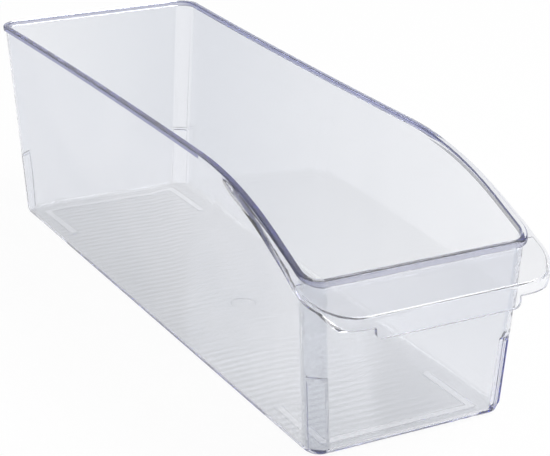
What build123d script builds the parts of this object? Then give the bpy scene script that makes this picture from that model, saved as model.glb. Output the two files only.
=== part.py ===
from build123d import *
from math import atan2, cos, degrees, radians, sin, sqrt, tan
import os

# Clear fridge storage bin: one injection moulding, in millimetres.
# The bin stands on the level z = 0, its length runs along Y with the pull at -Y, and x = 0 is its middle.

# Tub
body_length = 297.0  # outside of the end walls, measured at the height of the back rim
body_width = 100.0  # outside of the long walls at the four corners, at the height of the back rim
back_height = 95.5  # from the table to the top of the rim at the back
wall = 1.5  # thickness of the walls
floor_thickness = 1.8
side_draft = 3.9  # lean of the long walls, degrees
back_draft = 3.2
front_draft = 2.3
side_bow = 2.7  # how far the middle of a long wall is drawn in at the top
corner_radius = 7.5  # upright corners, outside
base_radius = 3.0  # between the walls and the floor, outside
base_steps = 3  # ruled steps that make this rounding

# Line of the rim seen from the side
bend_start = 87.0  # distance behind the front wall at which the rim starts to fall
bend_radius = 165.0
fall_angle = 22.3  # slope of the falling rim, degrees
level_blend = 14.0  # radius that brings the slope back to level at the front
front_level = 1.0  # length of rim before the front wall that is level again

# Rim bead
rim_height = 2.3
rim_overhang = 1.2  # how far the bead stands out from the wall
rim_rounding = 0.7

# Pull at the front
pull_reach = 18.8  # from the outside of the front wall to the front of the pull
pull_overhang = 3.2  # how far the sides of the pull stand out from the corners of the bin
pull_start = 84.0  # how far behind the front wall the sides of the pull begin
flare_length = 32.0  # length over which they come out of the bead
flare_overhang = 2.6  # how far they stand out at the end of it
pull_wall = 1.8
pull_below_rim = 0.9  # step down from the top of the bead to the sides of the pull
pull_step = 2.1  # the same at the front wall
pull_fall = 8.1  # from the top of the bead at the front to the top of the pull at its front
dip_length = 12.0  # length behind the front wall over which the sides of the pull go down to the step
pull_corner_radius = 19.5
pull_rounding = 2.0  # outer edge between the top and the lip
lip_depth = 4.7  # from the top of the pull to the lower edge of its lip, at the front corners
edge_depth = 2.2  # the same along its sides
edge_run = 3.0  # length of lip that stays level behind the front of the pull
edge_rise = 43.0  # slope of the lower edge between the lip and the sides, degrees
tab_depth = 9.4  # from the top of the pull to the lower edge of the deeper middle part of its lip
tab_width = 62.0
tab_rounding = 3.0  # lower corners of the middle part
lip_draft = 3.0

# Nesting steps in the four upright corners
step_height_front = 32.0
step_height_back = 30.0
step_width = 6.8
step_depth = 1.5
step_direction = 54.0  # angle of the step from the side of the bin, degrees

# Feet under the floor
foot_height = 0.8
foot_width = 3.2
foot_span = 66.0  # between the middles of the two legs of a foot
foot_leg = 32.0
foot_inset = 9.0  # from the outside of an end wall at the floor to the middle of the foot
gate_diameter = 11.0  # shallow round recess under the floor, left by the mould
gate_depth = 0.4

half_length = body_length / 2
half_width = body_width / 2
inner_floor = foot_height + floor_thickness


def side_at(z):
    """Outside of a long wall at its corners, as a distance from the middle."""
    return half_width - (back_height - z) * tan(radians(side_draft))


def back_at(z):
    return half_length - (back_height - z) * tan(radians(back_draft))


def front_at(z):
    return -half_length + (back_height - z) * tan(radians(front_draft))


def tub_outline(z, inset):
    """Outline of the tub at one height, moved in by inset, with its long sides bowed inwards."""
    x = side_at(z) - inset
    y1 = back_at(z) - inset
    y0 = front_at(z) + inset
    bow = side_bow * max(z, 0) / back_height
    middle = (y0 + y1) / 2
    edges = [
        Line((-x, y0), (x, y0)),
        ThreePointArc((x, y0), (x - bow, middle), (x, y1)),
        Line((x, y1), (-x, y1)),
        ThreePointArc((-x, y1), (-x + bow, middle), (-x, y0)),
    ]
    face = make_face(edges)
    face = fillet(face.vertices(), corner_radius - inset)
    return Pos(0, 0, z) * face


def tub_block(z0, z1, inset, radius=0.0):
    """Block with the outline of the tub between two heights; a rounding at its lower edge is in ruled steps."""
    angles = [radians(90 * step / base_steps) for step in range(base_steps + 1)] if radius else [radians(90)]
    sections = []
    for angle in angles:
        height = z0 + radius * (1 - cos(angle))
        sections.append(tub_outline(height, inset + radius * (1 - sin(angle))))
    return loft(sections + [tub_outline(z1, inset)], ruled=True)


# Side view of the rim, as (y, z) points
front_y = -half_length
bend_y = front_y + bend_start
turn = radians(fall_angle)


def rim_points(down):
    """Start, middle and end of the bend, then of the blend to level, all moved down by a distance."""
    r = bend_radius - down
    centre_z = back_height - bend_radius
    start = (bend_y, back_height - down)
    middle = (bend_y - r * sin(turn / 2), centre_z + r * cos(turn / 2))
    end = (bend_y - r * sin(turn), centre_z + r * cos(turn))
    run = bend_y - bend_radius * sin(turn) - (front_y + front_level)
    level = centre_z + bend_radius * cos(turn) - run * tan(turn) - down
    corner_y = front_y + front_level - down * tan(turn / 2)
    blend = level_blend + down
    reach = blend * tan(turn / 2)
    blend_start = (corner_y + reach * cos(turn), level + reach * sin(turn))
    blend_end = (corner_y - reach, level)
    blend_middle = (blend_end[0] + blend * sin(turn / 2), level + blend - blend * cos(turn / 2))
    return start, middle, end, blend_start, blend_middle, blend_end


front_rim = rim_points(0)[5][1]


def below_line(points, z_low, y_back, y_front):
    """Solid under a line seen from the side, wide enough to cover the bin."""
    start, middle, end, blend_start, blend_middle, blend_end = points
    edges = [
        Line((y_back, start[1]), start),
        ThreePointArc(start, middle, end),
        Line(end, blend_start),
        ThreePointArc(blend_start, blend_middle, blend_end),
        Line(blend_end, (y_front, blend_end[1])),
        Line((y_front, blend_end[1]), (y_front, z_low)),
        Line((y_front, z_low), (y_back, z_low)),
        Line((y_back, z_low), (y_back, start[1])),
    ]
    return extrude(Plane.YZ * make_face(edges), amount=body_width, both=True)


far = half_length + pull_reach + 20
top = back_height + 5

# Tub walls and floor
outer = tub_block(foot_height, top, 0, base_radius)
cavity = tub_block(inner_floor, top + 5, wall)
cavity = fillet(cavity.faces().sort_by(Axis.Z)[0].edges(), base_radius - wall)
tub = outer & below_line(rim_points(rim_height / 2), -5, far, -far)

# Rim bead along the whole top edge
bead = tub_block(front_rim - 10, top, -rim_overhang) - cavity
bead = bead & below_line(rim_points(0), -5, far, -far)
bead = bead - below_line(rim_points(rim_height), -6, far + 1, -far - 1)


def border(faces):
    """Edges used by one face only."""
    counts = {}
    for face in faces:
        for edge in face.edges():
            counts[edge] = counts.get(edge, 0) + 1
    return [edge for edge, count in counts.items() if count == 1]


upper_faces = [face for face in bead.faces() if face.normal_at().Z > 0.6]
bead = fillet(border(upper_faces), rim_rounding)

# Pull: a flange with a downturned lip, open underneath as a finger grip
wall_y = front_at(front_rim)
pull_front = wall_y - pull_reach
crest_height = front_rim - pull_fall
lip_bottom = crest_height - lip_depth
tab_bottom = crest_height - tab_depth


def below_pull_top(down):
    """Solid under the top of the pull, which follows the rim, dips to the step at the front wall and falls on."""
    start, middle, end = rim_points(pull_below_rim + down)[:3]
    step_y = wall_y - rim_overhang
    step_z = front_rim - pull_step
    fall = (step_z - crest_height) / (step_y - pull_front)
    step_z = step_z - down * sqrt(1 + fall * fall)
    dip_y = step_y + dip_length
    dip = (dip_y, end[1] - (end[0] - dip_y) * tan(turn))
    step = (step_y, step_z)
    low = (-far, step_z - (far + step_y) * fall)
    edges = [
        Line((far, start[1]), start),
        ThreePointArc(start, middle, end),
        Line(end, dip),
        Spline(dip, step, tangents=((-1, -tan(turn)), (-1, -fall))),
        Line(step, low),
        Line(low, (-far, -far)),
        Line((-far, -far), (far, -far)),
        Line((far, -far), (far, start[1])),
    ]
    return extrude(Plane.YZ * make_face(edges), amount=body_width, both=True)


def pull_outline(z, inset):
    """Outline of the pull at one height; it widens downwards by the draft of the lip."""
    grow = (crest_height - z) * tan(radians(lip_draft)) - inset
    y0 = front_y + pull_start
    y1 = y0 - flare_length
    x0 = half_width - side_bow + rim_overhang - 0.5 + grow
    x1 = half_width + flare_overhang + grow
    x2 = half_width + pull_overhang + grow
    y2 = pull_front - grow
    r = pull_corner_radius + grow
    k = r * (1 - cos(radians(45)))
    edges = [
        Spline((x0, y0), (x1, y1), tangents=((0, -1), (x2 - x1, y2 + r - y1))),
        Line((x1, y1), (x2, y2 + r)),
        ThreePointArc((x2, y2 + r), (x2 - k, y2 + k), (x2 - r, y2)),
        Line((x2 - r, y2), (-x2 + r, y2)),
        ThreePointArc((-x2 + r, y2), (-x2 + k, y2 + k), (-x2, y2 + r)),
        Line((-x2, y2 + r), (-x1, y1)),
        Spline((-x1, y1), (-x0, y0), tangents=((x2 - x1, y1 - y2 - r), (0, 1))),
        Line((-x0, y0), (x0, y0)),
    ]
    return Pos(0, 0, z) * make_face(edges)


def pull_block(inset):
    return loft([pull_outline(tab_bottom - 5, inset), pull_outline(top, inset)], ruled=True)


def top_edges(solid):
    """Outer edges of the upper faces of the pull, without the edge at its back end."""
    faces = [face for face in solid.faces() if face.normal_at().Z > 0.6]
    back = solid.bounding_box().max.Y
    return [edge for edge in border(faces) if (edge @ 0.5).Y < back - 0.1]


pull = pull_block(0) & below_pull_top(0)
pull = fillet(top_edges(pull), pull_rounding)

# Finger space inside the pull
grip = pull_block(pull_wall) & below_pull_top(pull_wall)
grip = grip & Pos(0, wall_y + 4 - 25, crest_height - 15) * Box(2 * body_width, 50, 80)

# Lower edge of the pull: it follows the sides, falls to the front corners and steps down to the middle part
edge_y = pull_front + edge_run
rise = tan(radians(edge_rise))
lip_side = [
    (-far, lip_bottom),
    (edge_y, lip_bottom),
    (edge_y + (top - lip_bottom) / rise, top),
    (far, top),
    (far, -far),
    (-far, -far),
]
under_lip = extrude(Plane.YZ * make_face(Polyline(lip_side, close=True)), amount=body_width, both=True)
under_lip = under_lip & below_pull_top(edge_depth)
tab_height = 2 * (lip_bottom - tab_bottom)
tab_face = Pos(0, tab_bottom + tab_height / 2) * RectangleRounded(tab_width, tab_height, tab_rounding)
tab_zone = Pos(0, pull_front + 4, 0) * extrude(Plane.XZ * tab_face, amount=10)
pull = pull - grip - (under_lip - tab_zone)

# Nesting steps: a flat channel outside each upright corner and the rib it raises inside


def step_block(side, end, z0, z1, width, level):
    """Block outside a level measured from the middle of the corner radius, leaning with the corner."""
    sections = []
    for z in (z0, z1):
        x = side * (side_at(z) - corner_radius)
        y = front_at(z) + corner_radius if end < 0 else back_at(z) - corner_radius
        angle = degrees(atan2(end * sin(radians(step_direction)), side * cos(radians(step_direction))))
        face = Pos(level + 5, 0) * Rectangle(10, width)
        sections.append(Pos(x, y, z) * Rot(0, 0, angle) * face)
    return loft(sections, ruled=True)


for side in (-1, 1):
    for end, height in ((-1, step_height_front), (1, step_height_back)):
        level = corner_radius - step_depth
        rib = step_block(side, end, 0, height + wall, step_width + 2 * wall, level - wall)
        cavity = cavity - rib
        tub = tub - step_block(side, end, -1, height, step_width, level)

bin_body = tub + pull - cavity + bead

# Feet and gate mark under the floor


def foot(end):
    """A U of three low bars, open towards the middle of the bin."""
    y = end * (half_length - back_height * tan(radians((front_draft + back_draft) / 2)) - foot_inset)
    x = foot_span / 2
    bar = Pos(0, y) * SlotCenterToCenter(foot_span, foot_width)
    leg = Rot(0, 0, 90) * SlotCenterToCenter(foot_leg, foot_width)
    legs = [Pos(s * x, y - end * foot_leg / 2) * leg for s in (-1, 1)]
    return extrude(bar + legs, amount=foot_height + 0.3)


bin_body = bin_body + foot(-1) + foot(1)
gate_y = (pull_front + half_length) / 2  # the middle of the overall length
bin_body = bin_body - Pos(0, gate_y, foot_height) * Cylinder(gate_diameter / 2, 2 * gate_depth)

# The origin is on the table, in the middle of the overall length
bin_body = Pos(0, -bin_body.bounding_box().center().Y, 0) * bin_body

os.makedirs("parts", exist_ok=True)
export_step(bin_body, "parts/bin.step")
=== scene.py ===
import math
import bmesh
import bpy
from mathutils import Matrix, Vector
from mathutils.bvhtree import BVHTree


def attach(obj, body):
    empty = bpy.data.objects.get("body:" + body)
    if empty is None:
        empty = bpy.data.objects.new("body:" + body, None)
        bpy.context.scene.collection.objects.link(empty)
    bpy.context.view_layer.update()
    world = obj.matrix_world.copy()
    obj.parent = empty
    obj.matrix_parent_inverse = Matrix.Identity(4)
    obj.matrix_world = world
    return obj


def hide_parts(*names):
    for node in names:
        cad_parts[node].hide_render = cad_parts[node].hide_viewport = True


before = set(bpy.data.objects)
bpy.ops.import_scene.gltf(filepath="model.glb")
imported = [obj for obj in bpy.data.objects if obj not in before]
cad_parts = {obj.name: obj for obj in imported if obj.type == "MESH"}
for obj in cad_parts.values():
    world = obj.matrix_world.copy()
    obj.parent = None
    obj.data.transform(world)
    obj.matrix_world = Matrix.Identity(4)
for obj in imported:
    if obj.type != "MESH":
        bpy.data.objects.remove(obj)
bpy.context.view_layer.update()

scene = bpy.context.scene

# The bin stands on the level z = 0, its length runs along Y with the pull at -Y, and x = 0 is its middle.
# Lengths are in metres.

# Light paths, long enough for both sides of every wall and the turns inside them
plastic_bounces = 128
transparent_bounces = 16

# Camera at the photograph's viewing angle: angles in degrees, lens and sensor in millimetres
camera_place = Vector((-0.3519, -0.6673, 0.3363))
camera_azimuth = -28.76
camera_elevation = 21.62
camera_roll = 0.77
camera_lens = 123.2
camera_sensor = 36

# Moulded edges
weld_distance = 1e-7
flat_angle = math.radians(0.3)  # faces that meet at a smaller angle become one
sharp_angle = math.radians(28)  # edges with a larger angle are softened
edge_softening = 0.0002
edge_segments = 2
stray_distance = 0.0003  # how far a softened point may be from the moulded surface
avoid_distance = 0.0009  # how far the softening stays away from a place where points strayed
softening_repeats = 2

# Outline of the bin, as it was modelled
half_length = 0.1485
half_width = 0.05
height = 0.0955
lengthwise_shift = 0.008586  # from the middle of the whole bin to the middle of its tub
side_slope = math.tan(math.radians(3.9))
front_slope = math.tan(math.radians(2.3))
back_slope = math.tan(math.radians(3.2))
side_bow = 0.0027
corner_radius = 0.0075
bend_start = 0.087  # from the front wall to the place where the rim starts to fall
bend_radius = 0.165
fall = math.radians(22.3)
front_level = 0.001  # length of rim before the front wall that is level again

# Faces of the rim bead: their depth below the rim and their distance from the outside of the walls
rim_depth = 0.00245
rim_outside = 0.00135
rim_inside = -0.00155
rim_side_lean = 0.9  # the upward part of a face's normal, above which it is the top of the bead

# Faces of the upright corners
corner_lean = 0.5  # the upward part of a face's normal, above which it isn't upright
corner_outside = 0.0005

# Inside of the floor
floor_top = 0.0026
floor_lean = 0.99  # the upward part of a face's normal, above which it is level
face_tolerance = 1e-5
point_tolerance = 1e-6

# Ripples across the inside of the floor
ripple_pitch = 0.0044
ripple_height = 0.00004
ripple_steps = 6  # rows of faces in each ripple
ripple_columns = 8
ripple_half_width = 0.037
ripple_fade = 0.003
ripple_ends = (-0.122, 0.138)
ripple_end_gap = 0.002
ripple_wander = 0.0009  # how far a ripple strays from straight
ripple_wander_turns = 60  # radians of that for each metre across

# Plastic
plastic_ior = 1.57
plastic_clearness = 0.97
absorb_density = 6.0
absorb_colour = (0.0, 0.03, 0.80, 1)

# Painted light and shade of the walls, lighter at the front left and deeper towards the back right
lit_wall_tint = (0.985, 0.99, 1.0, 1)
shaded_wall_and_flow_tint = (0.79, 0.81, 0.85, 1)
shade_across = 10.0  # for each metre to the right
shade_along = 4.5  # for each metre to the back
shade_range = (-0.5, 1.0)

# Tint of the floor, with painted shade darker to the left, and painted light and shade along the ripples on
# it
floor_tint = (0.76, 0.775, 0.80, 1)
painted_floor_shade_left = (0.50, 0.515, 0.54, 1)
floor_sides = (-0.045, 0.03)
floor_tint_heights = (floor_top + 0.0002, floor_top + 0.0012)
painted_ripple_light = (0.95, 0.96, 0.98, 1)
painted_ripple_share = 0.28
ripple_back, ripple_front = 0.11, -0.04  # the ripples are fainter towards the back
ripple_back_share = 0.45
ripple_noise_scale = 60.0
ripple_noise_turn = 5.0  # radians

# Flow marks in the plastic
flow_scale = 14.0
flow_detail = 1.0
flow_distortion = 0.8
flow_range = (0.35, 0.7)
flow_share = 0.2

# Painted shade on the upright corners, and the deep violet painted shade of the rim bead
painted_corner_shade = (0.86, 0.875, 0.91, 1)
painted_bead_shade = (0.12, 0.13, 0.29, 1)
bead_end_share = 0.6  # how much of it the bead has across the two ends

# Light
ceiling_start = 0.1  # the upward part of a direction at which the white around the bin starts to darken
ceiling_full = 0.5
ceiling_strength = 0.45
world_strength = 0.5  # the least in any direction, and what lights the floor
floor_size = 6.0
floor_colour = (0.95, 0.95, 0.95, 1)
floor_lift = 0.95  # share of the floor's look that is plain white where it is seen directly
key_place = (0.58, -0.45, 1.02)
key_side = 0.6  # length of its sides
key_energy = 9.0
back_place = (-0.35, 1.1, 0.8)
back_side = 0.5
back_energy = 2.0


def new_material(name):
    material = bpy.data.materials.new(name)
    material.use_nodes = True
    material.node_tree.nodes.clear()
    return material, material.node_tree.nodes, material.node_tree.links


def math_node(nodes, links, operation, *inputs):
    """Math node; each input is a number or a socket. Gives its output socket."""
    node = nodes.new("ShaderNodeMath")
    node.operation = operation
    for place, value in enumerate(inputs):
        if isinstance(value, (int, float)):
            node.inputs[place].default_value = value
        else:
            links.new(value, node.inputs[place])
    return node.outputs[0]


def map_range(nodes, links, value, low, high, start, end, smooth=False):
    """Value that goes from start to end as the given one goes from low to high, and stays there beyond."""
    node = nodes.new("ShaderNodeMapRange")
    node.interpolation_type = "SMOOTHSTEP" if smooth else "LINEAR"
    links.new(value, node.inputs["Value"])
    for name, number in (("From Min", low), ("From Max", high), ("To Min", start), ("To Max", end)):
        node.inputs[name].default_value = number
    return node.outputs["Result"]


def mix_colour(nodes, links, share, first, second):
    node = nodes.new("ShaderNodeMix")
    node.data_type = "RGBA"
    for socket, value in ((node.inputs["Factor"], share), (node.inputs[6], first), (node.inputs[7], second)):
        if isinstance(value, tuple):
            socket.default_value = value
        else:
            links.new(value, socket)
    return node.outputs[2]


def seen_directly(nodes, links):
    """A value that is 1 for camera, glossy and transmission rays."""
    path = nodes.new("ShaderNodeLightPath")
    result = math_node(nodes, links, "MAXIMUM", path.outputs["Is Camera Ray"], path.outputs["Is Glossy Ray"])
    return math_node(nodes, links, "MAXIMUM", result, path.outputs["Is Transmission Ray"])


def floor_shade(nodes, links, place, axes):
    """Colour of the floor, with painted shade darker to the left and the painted light and shade of its
    ripples.
    """
    noise = nodes.new("ShaderNodeTexNoise")
    noise.inputs["Scale"].default_value = ripple_noise_scale
    links.new(place, noise.inputs["Vector"])
    turns = math_node(nodes, links, "MULTIPLY", axes.outputs["Y"], 2 * math.pi / ripple_pitch)
    wander = math_node(nodes, links, "MULTIPLY", noise.outputs["Fac"], ripple_noise_turn)
    wave = math_node(nodes, links, "SINE", math_node(nodes, links, "ADD", turns, wander))
    # Painted light and shade across the ripples, fainter towards the back
    ripple = map_range(nodes, links, wave, -1, 1, 0, painted_ripple_share)
    fading = map_range(nodes, links, axes.outputs["Y"], ripple_back, ripple_front, ripple_back_share, 1)
    ripple = math_node(nodes, links, "MULTIPLY", ripple, fading)
    # Painted shade: the floor darker to the left
    side = map_range(nodes, links, axes.outputs["X"], *floor_sides, 0, 1)
    shaded_floor = mix_colour(nodes, links, side, painted_floor_shade_left, floor_tint)
    return mix_colour(nodes, links, ripple, shaded_floor, painted_ripple_light)


def clear_plastic():
    """Clear plastic, with painted light and shade: walls deeper towards the back right, a greyer rippled
    floor with painted shade and ripple light, darker upright corners and a deep violet rim bead.
    """
    material, nodes, links = new_material("clear_plastic")
    output = nodes.new("ShaderNodeOutputMaterial")
    shader = nodes.new("ShaderNodeBsdfPrincipled")
    shader.inputs["Transmission Weight"].default_value = plastic_clearness
    shader.inputs["IOR"].default_value = plastic_ior
    shader.inputs["Roughness"].default_value = 0.0
    place = nodes.new("ShaderNodeTexCoord").outputs["Object"]
    axes = nodes.new("ShaderNodeSeparateXYZ")
    links.new(place, axes.inputs[0])

    # Painted light and shade: the walls go from the lit tint at the front left to the shaded tint at the back
    # right
    across = math_node(nodes, links, "MULTIPLY", axes.outputs["X"], shade_across)
    along = math_node(nodes, links, "MULTIPLY", axes.outputs["Y"], shade_along)
    depth = map_range(nodes, links, math_node(nodes, links, "ADD", across, along), *shade_range, 0, 1)
    walls = mix_colour(nodes, links, depth, lit_wall_tint, shaded_wall_and_flow_tint)
    low = map_range(nodes, links, axes.outputs["Z"], *floor_tint_heights, 1, 0)
    tint = mix_colour(nodes, links, low, walls, floor_shade(nodes, links, place, axes))

    # Flow marks in the plastic, mixed towards the colour of the walls' painted shade
    flow = nodes.new("ShaderNodeTexNoise")
    flow.inputs["Scale"].default_value = flow_scale
    flow.inputs["Detail"].default_value = flow_detail
    flow.inputs["Distortion"].default_value = flow_distortion
    links.new(place, flow.inputs["Vector"])
    marks = map_range(nodes, links, flow.outputs["Fac"], *flow_range, 0, flow_share)
    tint = mix_colour(nodes, links, marks, tint, shaded_wall_and_flow_tint)
    # Painted shade: darker upright corners and a deep violet rim bead
    for name, colour in (("corner", painted_corner_shade), ("bead", painted_bead_shade)):
        mark = nodes.new("ShaderNodeAttribute")
        mark.attribute_name = name
        tint = mix_colour(nodes, links, mark.outputs["Fac"], tint, colour)
    links.new(tint, shader.inputs["Base Color"])
    links.new(shader.outputs["BSDF"], output.inputs["Surface"])

    volume = nodes.new("ShaderNodeVolumeAbsorption")
    volume.inputs["Color"].default_value = absorb_colour
    volume.inputs["Density"].default_value = absorb_density
    links.new(volume.outputs["Volume"], output.inputs["Volume"])
    return material


def outside(x, y, z):
    """Distance from the outside of the walls, below zero within, and the same past the sides and the ends."""
    y -= lengthwise_shift
    drop = height - z
    low, high = -half_length + drop * front_slope, half_length - drop * back_slope
    middle, half = (low + high) / 2, (high - low) / 2
    bow = side_bow * max(z, 0) / height * max(0, 1 - ((y - middle) / half) ** 2)
    across = abs(x) - (half_width - drop * side_slope - bow) + corner_radius
    along = abs(y - middle) - half + corner_radius
    beyond = math.hypot(max(across, 0), max(along, 0)) + min(max(across, along), 0)
    return beyond - corner_radius, across, along


def rim_height(y):
    """Height of the rim, which falls towards the front in an arc and then straight."""
    front = -half_length + lengthwise_shift
    bend = front + bend_start
    if y > bend:
        return height
    arc_end = bend - bend_radius * math.sin(fall)
    arc = height - bend_radius + math.sqrt(bend_radius ** 2 - (max(y, arc_end) - bend) ** 2)
    return arc - max(arc_end - max(y, front + front_level), 0) * math.tan(fall)


def mark_faces(data):
    """Marks the faces of the rim bead and of the upright corners, for the painted shade in the plastic's
    tint.
    """
    bead, corner = [], []
    for face in data.polygons:
        points = [data.vertices[index].co for index in face.vertices]
        distances = [outside(*point)[0] for point in points]
        near_top = min(point.z - rim_height(point.y) for point in points) > -rim_depth
        on_bead = near_top and min(distances) > rim_inside and max(distances) < rim_outside
        on_side = on_bead and face.normal.z < rim_side_lean
        bead.append(1 - (1 - bead_end_share) * face.normal.y ** 2 if on_side else 0.0)
        distance, across, along = outside(*face.center)
        upright = abs(face.normal.z) < corner_lean and distance < corner_outside
        corner.append(float(upright and across > 0 and along > 0 and not on_side))
    for name, values in (("bead", bead), ("corner", corner)):
        data.attributes.new(name, "FLOAT", "FACE").data.foreach_set("value", values)


def on_floor(face):
    level = abs(face.calc_center_median().z - floor_top) < face_tolerance
    return level and face.normal.z > floor_lean


def cut(mesh, place, direction):
    """Cuts the inside of the floor along one plane."""
    faces = [face for face in mesh.faces if on_floor(face)]
    parts = set(faces)
    for face in faces:
        parts.update(face.edges)
        parts.update(face.verts)
    bmesh.ops.bisect_plane(
        mesh, geom=list(parts), dist=weld_distance, plane_co=place, plane_no=direction)


def raise_ripples(mesh):
    """Cuts the inside of the floor into rows and columns, and moves its points up and down in waves."""
    for side in (-1, 1):
        cut(mesh, (side * (ripple_half_width + ripple_fade), 0, 0), (1, 0, 0))
    for column in range(ripple_columns + 1):
        cut(mesh, (ripple_half_width * (2 * column / ripple_columns - 1), 0, 0), (1, 0, 0))
    start, end = ripple_ends
    rows = int((end - start) / ripple_pitch * ripple_steps)
    for row in range(rows + 1):
        cut(mesh, (0, start + row * ripple_pitch / ripple_steps, 0), (0, 1, 0))
    mesh.normal_update()
    for vertex in mesh.verts:
        x, y, z = vertex.co
        level = abs(z - floor_top) < point_tolerance
        between = start + ripple_end_gap < y < end - ripple_end_gap
        if level and between and abs(x) < ripple_half_width + point_tolerance:
            wander = ripple_wander * math.sin(ripple_wander_turns * x)
            vertex.co.z = z + ripple_height * math.sin(2 * math.pi * (y + wander) / ripple_pitch)


def softened(data, avoided):
    """Mesh with its sharp edges bevelled, except near the avoided places, and where its points strayed."""
    mesh = bmesh.new()
    mesh.from_mesh(data)
    bmesh.ops.remove_doubles(mesh, verts=mesh.verts, dist=weld_distance)
    moulded = BVHTree.FromBMesh(mesh)
    bmesh.ops.dissolve_limit(mesh, angle_limit=flat_angle, verts=mesh.verts, edges=mesh.edges)
    sharp = []
    for edge in mesh.edges:
        clear = all((end.co - place).length > avoid_distance for end in edge.verts for place in avoided)
        if clear and edge.calc_face_angle(0) > sharp_angle:
            sharp.append(edge)
    bmesh.ops.bevel(
        mesh, geom=sharp, offset=edge_softening, offset_type="OFFSET", segments=edge_segments, profile=0.5,
        affect="EDGES", miter_outer="ARC", loop_slide=True)
    astray = []
    for vertex in mesh.verts:
        nearest, *_, distance = moulded.find_nearest(vertex.co)
        if distance > stray_distance:
            astray.append(nearest)
            vertex.co = nearest
    return mesh, astray


def clear_bin():
    """The bin with its sharp edges softened as moulded edges are, and with its rippled floor."""
    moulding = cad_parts["bin"].data
    avoided = []
    mesh, astray = softened(moulding, avoided)
    for _ in range(softening_repeats):
        mesh.free()
        avoided += astray
        mesh, astray = softened(moulding, avoided)
    raise_ripples(mesh)
    for face in mesh.faces:
        face.smooth = True
    data = bpy.data.meshes.new("clear_bin")
    mesh.to_mesh(data)
    mesh.free()
    mark_faces(data)
    data.materials.append(clear_plastic())
    piece = bpy.data.objects.new("clear_bin", data)
    scene.collection.objects.link(piece)
    weights = piece.modifiers.new("weights", "WEIGHTED_NORMAL")
    weights.keep_sharp = True
    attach(piece, "root")
    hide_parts("bin")


def studio_world():
    """White to the camera; its ceiling is darker in the light that it gives and in what the plastic shows."""
    world = bpy.data.worlds.new("studio")
    scene.world = world
    world.use_nodes = True
    nodes, links = world.node_tree.nodes, world.node_tree.links
    nodes.clear()
    axes = nodes.new("ShaderNodeSeparateXYZ")
    links.new(nodes.new("ShaderNodeTexCoord").outputs["Generated"], axes.inputs[0])
    seen = map_range(
        nodes, links, axes.outputs["Z"], ceiling_start, ceiling_full, 1.0, ceiling_strength, smooth=True)
    seen = math_node(nodes, links, "MULTIPLY", seen, seen_directly(nodes, links))
    path = nodes.new("ShaderNodeLightPath")
    strength = math_node(nodes, links, "MAXIMUM", path.outputs["Is Camera Ray"], seen)
    strength = math_node(nodes, links, "MAXIMUM", strength, world_strength)
    background = nodes.new("ShaderNodeBackground")
    background.inputs["Color"].default_value = (1, 1, 1, 1)
    links.new(strength, background.inputs["Strength"])
    output = nodes.new("ShaderNodeOutputWorld")
    links.new(background.outputs[0], output.inputs["Surface"])


def make_floor():
    """Pale floor that keeps the shadow of the bin and is nearly white where it is seen."""
    bpy.ops.mesh.primitive_plane_add(size=floor_size, location=(0, 0, 0))
    floor = bpy.context.object
    floor.name = "floor"
    material, nodes, links = new_material("floor")
    output = nodes.new("ShaderNodeOutputMaterial")
    diffuse = nodes.new("ShaderNodeBsdfDiffuse")
    diffuse.inputs["Color"].default_value = floor_colour
    glow = nodes.new("ShaderNodeEmission")
    glow.inputs["Strength"].default_value = 1.0
    share = math_node(nodes, links, "MULTIPLY", seen_directly(nodes, links), floor_lift)
    mix = nodes.new("ShaderNodeMixShader")
    links.new(share, mix.inputs["Fac"])
    links.new(diffuse.outputs[0], mix.inputs[1])
    links.new(glow.outputs[0], mix.inputs[2])
    links.new(mix.outputs[0], output.inputs["Surface"])
    floor.data.materials.append(material)


def softbox(name, place, side, energy):
    """Square lamp that faces the bin."""
    light = bpy.data.objects.new(name, bpy.data.lights.new(name, "AREA"))
    light.data.shape = "RECTANGLE"
    light.data.size = side
    light.data.size_y = side
    light.data.energy = energy
    light.location = place
    light.rotation_euler = (-Vector(place)).to_track_quat("-Z", "Y").to_euler()
    scene.collection.objects.link(light)


def make_camera():
    camera = bpy.data.objects.new("camera", bpy.data.cameras.new("camera"))
    scene.collection.objects.link(camera)
    azimuth, elevation, roll = (math.radians(v) for v in (camera_azimuth, camera_elevation, camera_roll))
    sideways = math.cos(elevation)
    back = Vector((math.sin(azimuth) * sideways, -math.cos(azimuth) * sideways, math.sin(elevation)))
    level = Vector((math.cos(azimuth), math.sin(azimuth), 0))
    upright = back.cross(level)
    right = level * math.cos(roll) + upright * math.sin(roll)
    up = upright * math.cos(roll) - level * math.sin(roll)
    camera.matrix_world = Matrix((right, up, back)).transposed().to_4x4()
    camera.location = camera_place
    camera.data.lens = camera_lens
    camera.data.sensor_width = camera_sensor
    return camera


scene.view_settings.view_transform = "Standard"
scene.cycles.max_bounces = plastic_bounces
scene.cycles.transmission_bounces = plastic_bounces
scene.cycles.glossy_bounces = plastic_bounces
scene.cycles.transparent_max_bounces = transparent_bounces

clear_bin()
studio_world()
make_floor()
softbox("key", key_place, key_side, key_energy)
softbox("back", back_place, back_side, back_energy)
bpy.context.scene.camera = make_camera()
